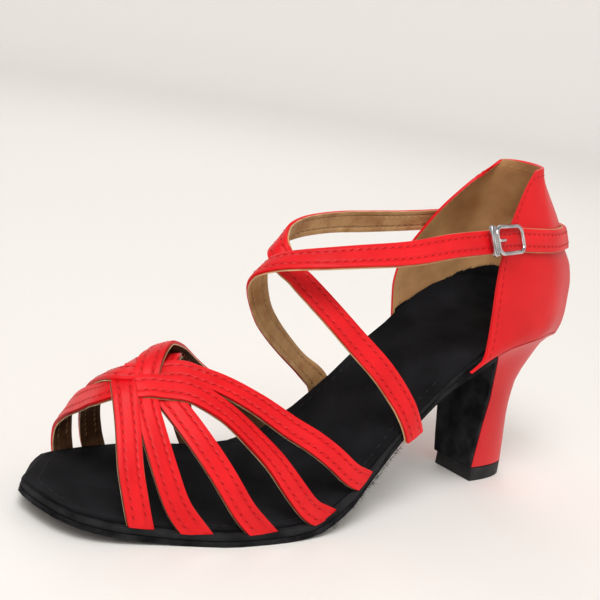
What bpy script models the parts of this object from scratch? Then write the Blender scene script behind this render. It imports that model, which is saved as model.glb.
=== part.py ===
"""A woman's open ballroom dance sandal for the left foot, standing empty on its heel and forefoot.

Metres, Z up. The toe points to -X and the outer side of the foot to -Y, where the buckle is. The origin
is on the bottom face of the heel's top piece, which stands on the floor.
"""

import math

import bmesh
import bpy
import numpy as np

for old in list(bpy.data.objects):
    bpy.data.objects.remove(old, do_unlink=True)

SOLE_LENGTH = 0.2202
SEAT_BACK = 0.0284
BALL_HALF = 0.0420
INFLARE = 0.0080
HEEL_HEIGHT = 0.0660
SOCK_THICK = 0.0009
BOARD_THICK = 0.0020
OUTSOLE_THICK = 0.0015
GAP = 0.0003
STRAP_WIDTH = 0.0080
ANKLE_WIDTH = 0.0086
STRAP_THICK = 0.0018
VAMP_HEIGHT = 0.0480
BAND_HEIGHT = 0.0980
COUNTER_THICK = 0.0019
COUNTER_TOP = 0.1255
HEEL_SEAT = 0.0390
TOP_PIECE = 0.0055
BUCKLE_LENGTH = 0.0172
BUCKLE_WIDTH = 0.0112
BUCKLE_WIRE = 0.0016

SOLE_STACK = SOCK_THICK + BOARD_THICK + OUTSOLE_THICK + 2 * GAP

# Insole outline: along as a share of the sole length, near and far as shares of half the ball width.
OUTLINE = (
    (0.00, 0.000, 0.000),
    (0.06, 0.330, 0.420),
    (0.15, 0.556, 0.636),
    (0.28, 0.648, 0.621),
    (0.42, 0.700, 0.530),
    (0.55, 0.850, 0.650),
    (0.61, 0.900, 0.870),
    (0.67, 0.915, 0.985),
    (0.75, 0.895, 1.050),
    (0.81, 0.810, 1.030),
    (0.86, 0.735, 0.945),
    (0.90, 0.690, 0.840),
    (0.94, 0.628, 0.585),
    (0.975, 0.500, 0.290),
    (1.00, 0.000, 0.000),
)

# Side profile of the last: along, and the height of the insole's top as a share of the heel height.
PROFILE = (
    (0.00, 0.941),
    (0.10, 1.000),
    (0.20, 0.970),
    (0.32, 0.814),
    (0.44, 0.503),
    (0.50, 0.324),
    (0.56, 0.172),
    (0.62, 0.090),
    (0.67, 0.077),
    (0.80, 0.077),
    (0.90, 0.104),
    (1.00, 0.165),
)

# Foot over the straps: along, its height as a share of the vamp height, its ridge as a share of half the ball width.
LAST = (
    (0.40, 1.375, 0.05),
    (0.52, 1.210, 0.09),
    (0.60, 1.090, 0.12),
    (0.70, 1.016, 0.17),
    (0.78, 1.024, 0.17),
    (0.84, 0.915, 0.13),
    (0.885, 0.812, 0.10),
    (0.94, 0.625, 0.10),
    (1.00, 0.417, 0.10),
)
LAST_POWER = 1.333


def follow(rows, column, at):
    """A smooth run through one column of a table. It is level between two rows that match."""
    marks = np.array([row[0] for row in rows], float)
    values = np.array([row[column] for row in rows], float)
    return smooth(marks, values, at)


def smooth(marks, values, at):
    steps = np.diff(marks)
    rises = np.diff(values) / steps
    slopes = np.zeros(len(marks))
    slopes[0] = rises[0]
    slopes[-1] = rises[-1]
    for i in range(1, len(marks) - 1):
        if rises[i - 1] * rises[i] > 0:
            before = 2 * steps[i] + steps[i - 1]
            after = steps[i] + 2 * steps[i - 1]
            slopes[i] = (before + after) / (before / rises[i - 1] + after / rises[i])
    at = np.clip(np.asarray(at, float), marks[0], marks[-1])
    span = np.clip(np.searchsorted(marks, at, side="right") - 1, 0, len(steps) - 1)
    u = (at - marks[span]) / steps[span]
    first = (2 * u**3 - 3 * u**2 + 1) * values[span] + (u**3 - 2 * u**2 + u) * steps[span] * slopes[span]
    second = (3 * u**2 - 2 * u**3) * values[span + 1] + (u**3 - u**2) * steps[span] * slopes[span + 1]
    return first + second


def half_width(side, along):
    """The insole's half width on the near (1) or far (2) side, kept round at both ends."""
    squares = [(row[0], row[1] ** 2, row[2] ** 2) for row in OUTLINE]
    return BALL_HALF * np.sqrt(np.maximum(follow(squares, side, along), 0))


def along_to_x(along):
    return SEAT_BACK - SOLE_LENGTH * np.asarray(along, float)


def x_to_along(x):
    return (SEAT_BACK - np.asarray(x, float)) / SOLE_LENGTH


def insole_top(x):
    return HEEL_HEIGHT * follow(PROFILE, 1, x_to_along(x)) + SOLE_STACK - 0.077 * HEEL_HEIGHT


def board_bottom(x):
    return insole_top(x) - SOCK_THICK - GAP - BOARD_THICK


def edge(side, along):
    """A point of the insole outline in plan, near (1) or far (2)."""
    sign = -1 if side == 1 else 1
    bend = INFLARE * np.asarray(along, float) ** 3
    return np.stack([along_to_x(along), sign * half_width(side, along) + bend], -1)


def outset_edges(along, outset):
    """Both edges of the outline, moved out square to the outline by a table of along and near and far distances."""
    near = edge(1, along)
    far = edge(2, along)
    loop = np.concatenate([near, far[::-1][1:-1]])
    ahead = np.roll(loop, -1, 0) - np.roll(loop, 1, 0)
    out = np.stack([ahead[:, 1], -ahead[:, 0]], -1)
    out /= np.linalg.norm(out, axis=1)[:, None]
    centre = loop.mean(0)
    if ((loop - centre) * out).sum() < 0:
        out = -out
    by = x_to_along(loop[:, 0])
    reach = np.concatenate([follow(outset, 1, by[: len(along)]), follow(outset, 2, by[len(along) :])])
    loop = loop + out * reach[:, None]
    near = loop[: len(along)]
    far = np.concatenate([loop[:1], loop[len(along) :][::-1], loop[len(along) - 1 : len(along)]])
    return near, far


def spaced(first, last, count):
    """Marks that lie closer together at both ends."""
    return first + (last - first) * (1 - np.cos(np.linspace(0, math.pi, count))) / 2


def link(points, count):
    """A smooth path through the points, split into equal steps."""
    points = np.asarray(points, float)
    gaps = np.linalg.norm(np.diff(points[:, :3], axis=0), axis=1)
    marks = np.concatenate([[0], np.cumsum(np.sqrt(gaps))])
    slopes = np.gradient(points, marks, axis=0)
    fine = []
    for i in range(len(points) - 1):
        u = np.linspace(0, 1, 24, endpoint=False)[:, None]
        step = marks[i + 1] - marks[i]
        start = (2 * u**3 - 3 * u**2 + 1) * points[i] + (u**3 - 2 * u**2 + u) * step * slopes[i]
        fine.append(start + (3 * u**2 - 2 * u**3) * points[i + 1] + (u**3 - u**2) * step * slopes[i + 1])
    fine = np.concatenate(fine + [points[-1:]])
    lengths = np.concatenate([[0], np.cumsum(np.linalg.norm(np.diff(fine[:, :3], axis=0), axis=1))])
    even = np.linspace(0, lengths[-1], count)
    return np.stack([np.interp(even, lengths, fine[:, k]) for k in range(fine.shape[1])], -1)


def material(name, colour, roughness, metallic=0.0):
    made = bpy.data.materials.new(name)
    made.use_nodes = True
    shader = made.node_tree.nodes["Principled BSDF"]
    shader.inputs["Base Color"].default_value = (*colour, 1.0)
    shader.inputs["Roughness"].default_value = roughness
    shader.inputs["Metallic"].default_value = metallic
    made.diffuse_color = (*colour, 1.0)
    return made


RED_SATIN = material("red_satin", (0.66, 0.006, 0.012), 0.38)
HEEL_SATIN = material("heel_satin", (0.64, 0.006, 0.012), 0.42)
BLACK_SUEDE = material("black_suede", (0.012, 0.012, 0.013), 0.95)
SOLE_SUEDE = material("sole_suede", (0.010, 0.010, 0.011), 0.97)
BLACK_WRAP = material("black_wrap", (0.014, 0.014, 0.015), 0.80)
TOP_RUBBER = material("top_rubber", (0.015, 0.015, 0.016), 0.60)
CHROME = material("chrome", (0.72, 0.72, 0.74), 0.16, 1.0)

part = bpy.data.collections.new("ballroom_dance_shoe")
helpers = bpy.data.collections.new("helpers")
helpers.hide_render = True
bpy.context.scene.collection.children.link(part)
bpy.context.scene.collection.children.link(helpers)


def solid(name, points, faces, look, home=None):
    """One closed body from points and faces, its faces turned out."""
    mesh = bpy.data.meshes.new(name)
    mesh.from_pydata([tuple(p) for p in points], [], faces)
    shape = bmesh.new()
    shape.from_mesh(mesh)
    bmesh.ops.remove_doubles(shape, verts=shape.verts, dist=1e-6)
    bmesh.ops.dissolve_degenerate(shape, edges=shape.edges, dist=1e-7)
    bmesh.ops.recalc_face_normals(shape, faces=shape.faces)
    shape.to_mesh(mesh)
    shape.free()
    for face in mesh.polygons:
        face.use_smooth = True
    made = bpy.data.objects.new(name, mesh)
    made.data.materials.append(look)
    (home or part).objects.link(made)
    return made


def slab(name, tops, bottoms, look):
    """A plate from rows of points across its top and its underside."""
    rows, across = tops.shape[:2]
    points = np.concatenate([tops.reshape(-1, 3), bottoms.reshape(-1, 3)])
    under = rows * across
    faces = []
    for i in range(rows - 1):
        for j in range(across - 1):
            a = i * across + j
            faces.append((a, a + 1, a + across + 1, a + across))
            faces.append((under + a, under + a + across, under + a + across + 1, under + a + 1))
        for j in (0, across - 1):
            a = i * across + j
            faces.append((a, a + across, under + a + across, under + a))
    for i in (0, rows - 1):
        for j in range(across - 1):
            a = i * across + j
            faces.append((a, a + 1, under + a + 1, under + a))
    return solid(name, points, faces, look)


def stacked_rings(name, rings, look):
    """A body from rings of points, closed by strips from one side of each end ring to the other."""
    count = len(rings[0])
    points = np.concatenate(rings)
    faces = []
    for i in range(len(rings) - 1):
        for j in range(count):
            a = i * count + j
            b = i * count + (j + 1) % count
            faces.append((a, b, b + count, a + count))
    for start in (0, (len(rings) - 1) * count):
        for j in range(count // 2):
            pair = (start + j, start + j + 1, start + count - 2 - j, start + count - 1 - j)
            faces.append(tuple(dict.fromkeys(pair)))
    faces = [face for face in faces if len(face) > 2]
    return solid(name, points, faces, look)


def soften(made, width, segments=2, angle=50):
    bevel = made.modifiers.new("soft_edges", "BEVEL")
    bevel.width = width
    bevel.segments = segments
    bevel.limit_method = "ANGLE"
    bevel.angle_limit = math.radians(angle)
    bevel.harden_normals = False
    return bevel


# Insole board, wrapped black
BOARD_OUTSET = (
    (0.00, -0.0023, -0.0023),
    (0.30, -0.0023, -0.0023),
    (0.34, -0.0012, -0.0012),
    (0.385, -0.0014, -0.0014),
    (0.47, -0.0014, -0.0014),
    (0.51, 0.0000, 0.0000),
    (1.00, 0.0000, 0.0000),
)
board_along = spaced(0, 1, 41)
near, far = outset_edges(board_along, BOARD_OUTSET)
line = np.stack([near, (near + far) / 2, far], 1)
level = board_bottom(line[..., 0])
board = slab(
    "insole_board",
    np.concatenate([line, (level + BOARD_THICK)[..., None]], -1),
    np.concatenate([line, level[..., None]], -1),
    BLACK_WRAP,
)
soften(board, 0.0005)

# Sock, curling up inside the heel cup
SOCK_OUTSET = (
    (0.00, -0.0023, -0.0023),
    (0.30, -0.0023, -0.0023),
    (0.34, -0.0018, -0.0018),
    (0.47, -0.0018, -0.0018),
    (0.51, -0.0025, -0.0025),
    (0.92, -0.0025, -0.0025),
    (1.00, -0.0008, -0.0008),
)
# The curl at each distance along, as heights at the near and far edge.
SOCK_CURL = (
    (0.00, 0.0100, 0.0100),
    (0.10, 0.0095, 0.0100),
    (0.18, 0.0060, 0.0085),
    (0.26, 0.0015, 0.0045),
    (0.32, 0.0000, 0.0004),
    (0.38, 0.0000, 0.0000),
    (1.00, 0.0000, 0.0000),
)
ACROSS = (0.0, 0.035, 0.09, 0.18, 0.34, 0.5, 0.66, 0.82, 0.91, 0.965, 1.0)
near, far = outset_edges(board_along, SOCK_OUTSET)
tops = []
for i, place in enumerate(board_along):
    row = []
    for share in ACROSS:
        x, y = near[i] * (1 - share) + far[i] * share
        rim = (near[i] if share < 0.5 else far[i]) - (near[i] + far[i]) / 2
        from_edge = np.linalg.norm(rim) * 2 * min(share, 1 - share)
        from_back = SEAT_BACK - 0.0023 - x
        reach = 1 - min(from_edge, from_back) / 0.0070
        curl = follow(SOCK_CURL, 1 if share < 0.5 else 2, place) * max(reach, 0) ** 2
        row.append((x, y, insole_top(x) + curl))
    tops.append(row)
tops = np.array(tops)
under = tops.copy()
under[..., 2] -= SOCK_THICK
sock = slab("insole_sock", tops, under, BLACK_SUEDE)

# Heel: rise, back, front, near and far. Rise is a share of the seat's height, the rest of the seat's length.
HEEL = (
    (0.100, 0.315, -0.276, 0.254, 0.262),
    (0.200, 0.290, -0.282, 0.268, 0.288),
    (0.300, 0.262, -0.286, 0.284, 0.308),
    (0.430, 0.228, -0.290, 0.305, 0.338),
    (0.550, 0.212, -0.295, 0.333, 0.372),
    (0.650, 0.220, -0.326, 0.364, 0.405),
    (0.760, 0.290, -0.380, 0.415, 0.449),
    (0.850, 0.392, -0.440, 0.470, 0.500),
    (0.930, 0.510, -0.545, 0.560, 0.580),
    (1.000, 0.728, -0.682, 0.682, 0.671),
)
SEAT_END = (SEAT_BACK + 0.682 * HEEL_SEAT) / SOLE_LENGTH


def heel_seat(x):
    return board_bottom(x) - GAP


def heel_front(rise):
    """The breast line in side view at a share of the seat's height."""
    x = HEEL_SEAT * follow(HEEL, 2, rise)
    return x, rise * heel_seat(x)


def heel_ring(rise):
    back, front, near_half, far_half = (HEEL_SEAT * follow(HEEL, k, rise) for k in (1, 2, 3, 4))
    blend = max(0.0, (rise - 0.80) / 0.20) ** 1.5
    turns = np.linspace(0, math.pi / 2, 13)
    ring = []
    for side, half in ((1, near_half), (2, far_half)):
        q = 1 - np.cos(turns)
        low = (1 - (1 - q) ** 2.2) ** (1 / 2.2)
        seat = half_width(side, q * SEAT_END) / half_width(side, SEAT_END)
        y = half * (low * (1 - blend) + seat * blend) * (-1 if side == 1 else 1)
        x = back - (back - front) * q
        ring.append(np.stack([x, y + INFLARE * x_to_along(x) ** 3 * blend, rise * heel_seat(x)], -1))
    return np.concatenate([ring[0][::-1], ring[1][1:]])


heel_rises = ((TOP_PIECE + GAP) / heel_seat(0.0), 0.2, 0.3, 0.4, 0.5, 0.58, 0.66, 0.74, 0.81, 0.87, 0.92, 0.96, 1.0)
rings = [heel_ring(rise) for rise in heel_rises]
rings[0][:, 2] = TOP_PIECE + GAP
heel = stacked_rings("heel", rings, HEEL_SATIN)

# Top piece under the heel
foot_ring = heel_ring(HEEL[0][0])
ring_low = foot_ring.copy()
ring_low[:, 2] = 0.0
ring_high = foot_ring.copy()
ring_high[:, 2] = TOP_PIECE
top_piece = stacked_rings("heel_top_piece", [ring_low, ring_high], TOP_RUBBER)
for face in top_piece.data.polygons:
    face.use_smooth = False

# Outsole, run back under the board and down the heel breast
OUTSOLE_OUTSET = (
    (0.00, 0.0000, 0.0000),
    (0.30, 0.0002, 0.0002),
    (0.36, -0.0012, -0.0012),
    (0.50, -0.0012, -0.0012),
    (0.56, 0.0004, 0.0006),
    (0.66, 0.0006, 0.0006),
    (0.78, 0.0006, 0.0006),
    (0.90, 0.0006, 0.0006),
    (1.00, 0.0004, 0.0004),
)
outsole_along = 1 - (1 - SEAT_END - 0.008) * (1 - np.cos(np.linspace(0, math.pi / 2, 9)[:-1])) ** 1.0 * 0.25
outsole_along = np.concatenate([outsole_along, np.linspace(outsole_along[-1], SEAT_END + 0.008, 30)[1:]])
full = np.concatenate([[1.0], outsole_along[1:], spaced(0.0, outsole_along[-1], 12)[::-1][1:]])
near, far = outset_edges(full, OUTSOLE_OUTSET)
near, far = near[: len(outsole_along)], far[: len(outsole_along)]
spine = [((near[i][0] + far[i][0]) / 2, board_bottom((near[i][0] + far[i][0]) / 2)) for i in range(len(near))]
breast_rises = (0.975, 0.94, 0.90, 0.86, 0.81, 0.75, 0.68, 0.60, 0.50, 0.40, 0.30, 0.20)
widths = [(near[i][1], far[i][1]) for i in range(len(near))]
for rise in breast_rises:
    spine.append(heel_front(rise))
    ring = heel_ring(rise)
    widths.append((ring[0][1], ring[-1][1]))
foot_x = heel_front(heel_rises[0])[0]
spine.append((foot_x, TOP_PIECE + GAP))
widths.append((rings[0][0][1], rings[0][-1][1]))
spine = np.array(spine)
heading = np.gradient(spine, axis=0)
heading /= np.linalg.norm(heading, axis=1)[:, None]
down = np.stack([heading[:, 1], -heading[:, 0]], -1)
down[0] = (0, -1)
down[-1] = (-1, 0)
tops = []
under = []
for i, (x, z) in enumerate(spine):
    sides = widths[i]
    top_row = []
    low_row = []
    for j in range(3):
        y = sides[0] + (sides[1] - sides[0]) * j / 2
        if i < len(near):
            own = near[i][0] * (1 - j / 2) + far[i][0] * j / 2
            base = np.array([own, board_bottom(own)])
        else:
            base = np.array([x, z])
        high = base + down[i] * GAP
        low = base + down[i] * (GAP + OUTSOLE_THICK)
        top_row.append((high[0], y, high[1]))
        low_row.append((low[0], y, max(low[1], 0.0)))
    tops.append(top_row)
    under.append(low_row)
outsole = slab("outsole", np.array(tops), np.array(under), SOLE_SUEDE)

# Counter: rise, back, near and far half width, near and far front edge, as shares of the heel height.
COUNTER = (
    (0.00, 0.430, 0.412, 0.395, -0.603, -0.510),
    (0.06, 0.456, 0.410, 0.397, -0.523, -0.523),
    (0.15, 0.472, 0.398, 0.397, -0.476, -0.563),
    (0.28, 0.472, 0.380, 0.386, -0.467, -0.572),
    (0.42, 0.436, 0.360, 0.368, -0.462, -0.524),
    (0.52, 0.362, 0.337, 0.345, -0.436, -0.472),
    (0.62, 0.308, 0.309, 0.318, -0.396, -0.422),
    (0.72, 0.236, 0.275, 0.287, -0.342, -0.358),
    (0.84, 0.134, 0.232, 0.248, -0.272, -0.256),
    (0.94, 0.049, 0.198, 0.210, -0.220, -0.200),
    (1.00, 0.012, 0.180, 0.190, -0.205, -0.172),
)
# How far the collar falls from the back to each front corner, near and far.
COLLAR_FALL = (0.0, 0.0012, 0.0045)


def counter_point(side, share, rise):
    """A point of the heel cup's outer face: side near (1) or far (2), share from the back to the front edge."""
    back, half, front = (HEEL_HEIGHT * follow(COUNTER, k, rise) for k in (1, 1 + side, 3 + side))
    front_low = HEEL_HEIGHT * COUNTER[0][3 + side]
    seat_x = SEAT_BACK - (SEAT_BACK - front_low) * share
    along = x_to_along(seat_x)
    widest = HEEL_HEIGHT * COUNTER[0][1 + side]
    seat_y = half_width(side, along) * (-1 if side == 1 else 1)
    x = back - (back - front) * share
    low = board_bottom(seat_x)
    high = COUNTER_TOP - COLLAR_FALL[side] * share**2
    return np.array([x, seat_y * half / widest, low + rise * (high - low)])


def counter_at_height(side, share, z):
    """The same face at a height instead of a rise."""
    low, high = 0.0, 1.0
    for _ in range(30):
        middle = (low + high) / 2
        if counter_point(side, share, middle)[2] < z:
            low = middle
        else:
            high = middle
    return counter_point(side, share, low), low


def counter_normal(side, share, rise):
    e = 0.004
    across = counter_point(side, min(share + e, 1), rise) - counter_point(side, max(share - e, 0.001), rise)
    up = counter_point(side, share, min(rise + e, 1)) - counter_point(side, share, max(rise - e, 0))
    out = np.cross(across, up)
    out /= np.linalg.norm(out)
    return -out if side == 1 else out


shares = 1 - np.cos(np.linspace(0, math.pi / 2, 15)) ** 1.0
shares = 0.5 * shares + 0.5 * np.linspace(0, 1, 15) ** 1.6
counter_rises = (0.0, 0.05, 0.12, 0.20, 0.30, 0.40, 0.48, 0.56, 0.65, 0.75, 0.86, 0.94, 1.0)
points = []
for rise in counter_rises:
    for share in shares[::-1]:
        points.append(counter_point(1, share, rise))
    for share in shares[1:]:
        points.append(counter_point(2, share, rise))
wide = 2 * len(shares) - 1
faces = []
for i in range(len(counter_rises) - 1):
    for j in range(wide - 1):
        a = i * wide + j
        faces.append((a, a + 1, a + wide + 1, a + wide))
counter = solid("heel_counter", points, faces, RED_SATIN)
shape = bmesh.new()
shape.from_mesh(counter.data)
middle = [face for face in shape.faces if face.calc_center_median().x > 0.02]
if sum(face.normal.x for face in middle) < 0:
    bmesh.ops.reverse_faces(shape, faces=shape.faces)
shape.to_mesh(counter.data)
shape.free()
wall = counter.modifiers.new("wall", "SOLIDIFY")
wall.thickness = COUNTER_THICK
wall.offset = -1.0
wall.use_even_offset = True
wall.use_rim = True


# Straps
STRAP_INSET = GAP + STRAP_THICK / 2
UPRIGHT_REACH = 0.12


def strap_foot(x):
    """The height at which the weave's straps are tucked in on top of the board."""
    return insole_top(x) - SOCK_THICK


def last_point(along, around):
    """A point over the foot: along the sole, and around from the near edge (0) to the far edge (1)."""
    turn = math.pi * around
    near_edge = edge(1, along)
    far_edge = edge(2, along)
    ridge = BALL_HALF * follow(LAST, 2, along)
    reach = abs(math.cos(turn)) ** LAST_POWER
    side = near_edge[1] + STRAP_INSET if around < 0.5 else far_edge[1] - STRAP_INSET
    x = float(near_edge[0])
    height = VAMP_HEIGHT * follow(LAST, 1, along) * abs(math.sin(turn)) ** LAST_POWER
    return np.array([x, ridge + (side - ridge) * reach, insole_top(x) + height])


def last_normal(along, around):
    e = 0.004
    low = max(around - e, 0.0)
    high = min(around + e, 1.0)
    round_foot = last_point(along, high) - last_point(along, low)
    ahead = last_point(along + e, around) - last_point(along - e, around)
    out = np.cross(round_foot, ahead)
    out /= np.linalg.norm(out)
    probe = last_point(along, around) - np.array([along_to_x(along), 0.0, 0.012])
    out = out if out @ probe > 0 else -out
    # Near its ends a strap turns upright, to stand along the edge of the sole.
    upright = 1 - min(around, 1 - around) / UPRIGHT_REACH
    if upright > 0:
        side = 1 if around < 0.5 else 2
        run = edge(side, along + 0.01) - edge(side, along - 0.01)
        wall = np.array([run[1], -run[0], 0.0]) * (-1 if side == 1 else 1)
        wall /= np.linalg.norm(wall)
        wall = wall if wall @ probe > 0 else -wall
        upright = upright * upright * (3 - 2 * upright)
        out = out * (1 - upright) + wall * upright
        out /= np.linalg.norm(out)
    return out


def ribbon(path, outward, width, thick):
    """A strap along the path, its broad face square to the outward directions."""
    path = np.asarray(path)
    heading = np.gradient(path, axis=0)
    heading /= np.linalg.norm(heading, axis=1)[:, None]
    corner = 0.27 * thick
    profile = (
        (width / 2 - corner, thick / 2),
        (width / 2, thick / 2 - corner),
        (width / 2, corner - thick / 2),
        (width / 2 - corner, -thick / 2),
        (corner - width / 2, -thick / 2),
        (-width / 2, corner - thick / 2),
        (-width / 2, thick / 2 - corner),
        (corner - width / 2, thick / 2),
    )
    rings = []
    for i in range(len(path)):
        out = outward[i] - heading[i] * (outward[i] @ heading[i])
        out /= np.linalg.norm(out)
        wide = np.cross(heading[i], out)
        rings.append(np.array([path[i] + wide * a + out * b for a, b in profile]))
    return rings, heading


def to_level(ring, heading, floor):
    """Slides the end ring's points along the strap to the surface under them."""
    for k in range(len(ring)):
        for _ in range(6):
            fall = (floor(ring[k][0] + 1e-4) - floor(ring[k][0] - 1e-4)) / 2e-4
            miss = floor(ring[k][0]) - ring[k][2]
            ring[k] = ring[k] + heading * miss / (heading[2] - fall * heading[0])


def strap_body(name, rings, look, home):
    """The strap's body, its two ends closed."""
    count = len(rings[0])
    points = np.concatenate(rings)
    faces = []
    for i in range(len(rings) - 1):
        for j in range(count):
            a = i * count + j
            b = i * count + (j + 1) % count
            faces.append((a, b, b + count, a + count))
    faces.append(tuple(range(count)))
    faces.append(tuple(range((len(rings) - 1) * count, len(rings) * count)))
    return solid(name, points, faces, look, home)


def weld(name, bodies, tangled):
    """One body from crossing ones, with no pocket sealed inside it. Tangled ones cross more than one other."""
    whole = bodies[0]
    whole.name = name
    whole.data.name = name
    for i, other in enumerate(bodies[1:]):
        join = whole.modifiers.new(f"join_{i}", "BOOLEAN")
        join.operation = "UNION"
        join.solver = "EXACT"
        join.use_self = tangled
        join.object = other
        other.display_type = "WIRE"
        other.hide_render = True
    bpy.context.view_layer.update()
    graph = bpy.context.evaluated_depsgraph_get()
    joined = bpy.data.meshes.new_from_object(whole.evaluated_get(graph))
    whole.modifiers.clear()
    whole.data = joined
    joined.name = name
    keep_largest(joined)
    return whole


def keep_largest(mesh):
    """Leaves the shell with the most faces."""
    shape = bmesh.new()
    shape.from_mesh(mesh)
    left = set(shape.faces)
    shells = []
    while left:
        shell = {left.pop()}
        edge_on = list(shell)
        while edge_on:
            face = edge_on.pop()
            for side in face.edges:
                if len(side.link_faces) > 2:
                    continue
                for other in side.link_faces:
                    if other in left:
                        left.discard(other)
                        shell.add(other)
                        edge_on.append(other)
        shells.append(shell)
    shells.sort(key=len)
    loose = [face for shell in shells[:-1] for face in shell]
    bmesh.ops.delete(shape, geom=loose, context="FACES")
    shape.to_mesh(mesh)
    shape.free()


# The weave's straps. Columns: along, around, lift as a share of the strap's thickness, and how far the face is
# turned towards the toe.
WEAVE = {
    "front_strap": (
        (0.893, 0.000, 0.0),
        (0.898, 0.090, 0.0),
        (0.897, 0.180, 0.0),
        (0.891, 0.300, 0.1),
        (0.884, 0.395, 0.35),
        (0.876, 0.465, -0.25),
        (0.856, 0.540, -0.30),
        (0.805, 0.690, 0.0),
        (0.760, 0.840, 0.0),
        (0.730, 0.950, 0.0),
        (0.722, 1.000, 0.0),
    ),
    "apex_strap": (
        (0.816, 0.000, 0.0),
        (0.835, 0.080, 0.0),
        (0.848, 0.155, 0.0),
        (0.857, 0.240, 0.0),
        (0.859, 0.320, -0.15),
        (0.853, 0.378, -0.30),
        (0.838, 0.445, 0.40),
        (0.800, 0.545, 0.35),
        (0.755, 0.620, 0.15),
        (0.710, 0.690, 0.0),
        (0.655, 0.765, 0.0),
        (0.600, 0.842, 0.0),
        (0.550, 0.945, 0.0),
        (0.534, 1.000, 0.0),
    ),
    "middle_strap": (
        (0.718, 0.000, 0.0),
        (0.745, 0.080, 0.0),
        (0.769, 0.147, 0.0),
        (0.797, 0.222, 0.0),
        (0.819, 0.300, -0.2),
        (0.829, 0.352, -0.50),
        (0.830, 0.420, -0.75),
        (0.812, 0.515, -0.70),
        (0.752, 0.665, -0.2),
        (0.686, 0.825, 0.0),
        (0.640, 0.950, 0.0),
        (0.630, 1.000, 0.0),
    ),
    "lower_cross_strap": (
        (0.607, 0.000, 0.0),
        (0.627, 0.050, 0.0),
        (0.652, 0.105, 0.0),
        (0.680, 0.168, 0.0),
        (0.707, 0.214, 0.0),
        (0.742, 0.268, 0.0),
        (0.780, 0.310, 0.05),
        (0.815, 0.343, 0.15),
        (0.852, 0.379, 0.30),
        (0.882, 0.412, -0.30),
        (0.906, 0.528, -1.60, 0.30),
        (0.907, 0.645, -1.90, 0.55),
        (0.900, 0.728, -1.30, 0.60),
        (0.885, 0.807, 0.10, 0.45),
        (0.873, 0.873, 1.20, 0.20),
        (0.867, 0.930, 0.80, 0.05),
        (0.863, 1.000, 0.0),
    ),
    "upper_cross_strap": (
        (0.528, 0.000, 0.0),
        (0.562, 0.085, 0.0),
        (0.605, 0.177, 0.0),
        (0.640, 0.226, 0.0),
        (0.684, 0.284, 0.0),
        (0.730, 0.337, 0.0),
        (0.779, 0.376, -0.25),
        (0.820, 0.416, -0.40),
        (0.852, 0.450, -0.15),
        (0.876, 0.490, 0.40),
        (0.880, 0.590, 0.20),
        (0.861, 0.720, 0.0),
        (0.834, 0.840, 0.0),
        (0.809, 0.945, 0.0),
        (0.800, 1.000, 0.0),
    ),
}
WEAVE_STEPS = 30

weave_bodies = []
for strap, rows in WEAVE.items():
    marks = [(*last_point(row[0], row[1]), *row, *(0.0,) * (4 - len(row))) for row in rows]
    run = link(marks, WEAVE_STEPS)
    path = []
    outward = []
    for x, y, z, along, around, lift, turned in run:
        around = min(max(around, 0.0), 1.0)
        out = last_normal(along, around)
        path.append(last_point(along, around) + out * lift * STRAP_THICK)
        outward.append(out + np.array([-turned, -turned, 0.0]))
    path = np.array(path)
    outward = np.array(outward)
    rings, heading = ribbon(path, outward, STRAP_WIDTH, STRAP_THICK)
    to_level(rings[0], heading[0], strap_foot)
    to_level(rings[-1], heading[-1], strap_foot)
    home = part if strap == "front_strap" else helpers
    weave_bodies.append(strap_body(strap, rings, RED_SATIN, home))
vamp = weld("vamp_straps", weave_bodies, True)

# Ankle straps. Columns: along, side and rise as shares of half the ball width and of the band height, and how far
# the face is turned sideways and, in a few rows, towards the toe.
WAIST_RUN = (
    (0.4205, -0.716, 0.306, 0.0),
    (0.4300, -0.716, 0.350, 0.0),
    (0.4440, -0.692, 0.408, 0.0),
    (0.4590, -0.631, 0.463, 0.0),
    (0.4860, -0.548, 0.539, 0.0),
    (0.5220, -0.405, 0.625, 0.0),
    (0.5640, -0.202, 0.731, 0.0),
    (0.5940, -0.024, 0.807, 0.0),
    (0.6130, 0.071, 0.850, 0.1),
    (0.6190, 0.190, 0.896, 0.3),
    (0.5945, 0.325, 0.930, 0.9),
    (0.5537, 0.417, 0.955, 1.4),
    (0.4757, 0.512, 0.972, 1.2),
    (0.3781, 0.583, 0.976, 0.6),
    (0.3062, 0.600, 0.982, 0.2),
)
INSTEP_RUN = (
    (0.4290, 0.552, 0.280, 0.0),
    (0.4401, 0.555, 0.337, 0.0, 0.1),
    (0.4800, 0.548, 0.404, 0.3, 0.5),
    (0.5330, 0.500, 0.497, 0.3, 0.8),
    (0.5730, 0.440, 0.572, 0.3, 0.8),
    (0.6060, 0.369, 0.645, 0.2, 0.4),
    (0.6472, 0.214, 0.773, 0.4),
    (0.6570, 0.125, 0.825, 0.1),
    (0.6570, 0.020, 0.857, 0.0),
    (0.6470, -0.095, 0.883, 0.0),
    (0.6300, -0.220, 0.903, 0.0),
    (0.6057, -0.345, 0.921, 0.0),
    (0.5579, -0.464, 0.942, 0.0),
    (0.4753, -0.571, 0.967, 0.0),
    (0.3928, -0.607, 1.000, 0.0),
    (0.3150, -0.590, 1.015, 0.0),
)
# The middle of the foot that the ankle straps face away from: along and rise.
CORE = np.array(((-0.0100, 0.0, 0.088), (-0.0450, 0.003, 0.085), (-0.1500, 0.003, 0.015)))


def from_core(point):
    best = None
    for start, end in zip(CORE[:-1], CORE[1:]):
        span = end - start
        share = np.clip((point - start) @ span / (span @ span), 0, 1)
        away = point - (start + span * share)
        if best is None or away @ away < best @ best:
            best = away
    return best / np.linalg.norm(best)


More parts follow.
